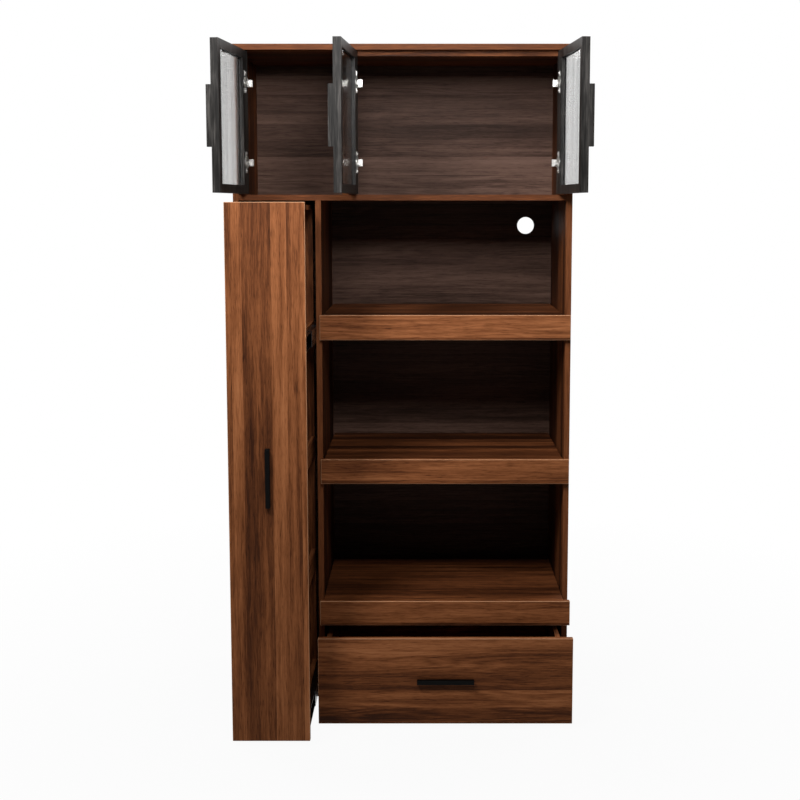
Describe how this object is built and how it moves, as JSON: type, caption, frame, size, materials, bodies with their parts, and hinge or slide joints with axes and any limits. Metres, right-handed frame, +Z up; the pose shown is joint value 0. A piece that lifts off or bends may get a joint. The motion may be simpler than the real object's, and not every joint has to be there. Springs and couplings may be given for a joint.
{
  "type": "tall kitchen cabinet",
  "caption": "Tall walnut kitchen cabinet with glazed upper doors, a tall pull-out larder, sliding appliance trays and a deep drawer, shown part open.",
  "frame": {"origin": "middle of the box of the part-open cabinet, at floor level", "axes": "+X to the right seen from the front, +Y to the back, +Z up"},
  "size_m": [0.9412, 0.677, 1.8],
  "materials": {
    "walnut": "satin walnut foil",
    "back_board": "printed board",
    "charcoal_frame": "charcoal wood-grain foil",
    "reeded_glass": "reeded",
    "black_handle": "matt",
    "slide_steel": "black zinc",
    "hinge_nickel": "nickel",
    "glide_plastic": "moulded"
  },
  "bodies": {
    "carcass": {"left_side": "walnut", "right_side": "walnut", "top_panel": "walnut", "middle_panel": "walnut", "bottom_panel": "walnut", "column_divider": "walnut", "upper_divider": "walnut", "upper_back_panel": "back_board", "lower_back_panel": "back_board", "low_fixed_shelf": "walnut", "middle_fixed_shelf": "walnut", "high_fixed_shelf": "walnut", "door_stop_rail": "walnut", "foot_glides": "glide_plastic", "tray_outer_rails": "slide_steel", "drawer_outer_rails": "slide_steel", "pull_out_outer_rails": "slide_steel", "hinge_arms": "hinge_nickel"},
    "left_door": {"left_door_frame": "charcoal_frame", "left_door_glass": "reeded_glass", "left_door_handle": "charcoal_frame", "left_door_hinge_cups": "hinge_nickel"},
    "middle_door": {"middle_door_frame": "charcoal_frame", "middle_door_glass": "reeded_glass", "middle_door_handle": "charcoal_frame", "middle_door_hinge_cups": "hinge_nickel"},
    "right_door": {"right_door_frame": "charcoal_frame", "right_door_glass": "reeded_glass", "right_door_handle": "charcoal_frame", "right_door_hinge_cups": "hinge_nickel"},
    "low_tray": {"low_tray_front": "walnut", "low_tray_board": "walnut", "low_tray_battens": "walnut", "low_tray_inner_rails": "slide_steel"},
    "middle_tray": {"middle_tray_front": "walnut", "middle_tray_board": "walnut", "middle_tray_battens": "walnut", "middle_tray_inner_rails": "slide_steel"},
    "high_tray": {"high_tray_front": "walnut", "high_tray_board": "walnut", "high_tray_battens": "walnut", "high_tray_inner_rails": "slide_steel"},
    "drawer": {"drawer_front": "walnut", "drawer_left_side": "walnut", "drawer_right_side": "walnut", "drawer_base": "walnut", "drawer_back": "walnut", "drawer_handle": "black_handle", "drawer_inner_rails": "slide_steel"},
    "pull_out_rails": {"pull_out_mid_rails": "slide_steel"},
    "pull_out": {"pull_out_front": "walnut", "pull_out_back": "walnut", "pull_out_top": "walnut", "pull_out_base": "walnut", "pull_out_guards": "walnut", "pull_out_shelves": "walnut", "pull_out_inner_rails": "slide_steel", "pull_out_handle": "black_handle"}
  },
  "joints": [
    {"name": "left_door_hinge", "type": "hinge", "parent": "carcass", "child": "left_door", "pos_m": [-0.42063, -0.0555, 1.5965], "axis": [0, 0, 1], "range_deg": [-8.1, 96.9]},
    {"name": "middle_door_hinge", "type": "hinge", "parent": "carcass", "child": "middle_door", "pos_m": [-0.13063, -0.0555, 1.5965], "axis": [0, 0, 1], "range_deg": [-10, 95]},
    {"name": "right_door_hinge", "type": "hinge", "parent": "carcass", "child": "right_door", "pos_m": [0.42537, -0.0555, 1.5965], "axis": [0, 0, 1], "range_deg": [-95.5, 9.5]},
    {"name": "low_tray_slide", "type": "slide", "parent": "carcass", "child": "low_tray", "axis": [0, -1, 0], "range_m": [-0.06, 0.2]},
    {"name": "middle_tray_slide", "type": "slide", "parent": "carcass", "child": "middle_tray", "axis": [0, -1, 0], "range_m": [0, 0.26]},
    {"name": "high_tray_slide", "type": "slide", "parent": "carcass", "child": "high_tray", "axis": [0, -1, 0], "range_m": [0, 0.26]},
    {"name": "drawer_slide", "type": "slide", "parent": "carcass", "child": "drawer", "axis": [0, -1, 0], "range_m": [-0.142, 0.118]},
    {"name": "pull_out_slide", "type": "slide", "parent": "carcass", "child": "pull_out", "axis": [0, -1, 0], "range_m": [-0.264, 0.076]},
    {"name": "pull_out_rails_slide", "type": "slide", "parent": "carcass", "child": "pull_out_rails", "axis": [0, -1, 0], "range_m": [-0.132, 0.038]}
  ],
  "couplings": [
    {"joint": "pull_out_rails_slide", "follows": "pull_out_slide", "ratio": 0.5}
  ]
}
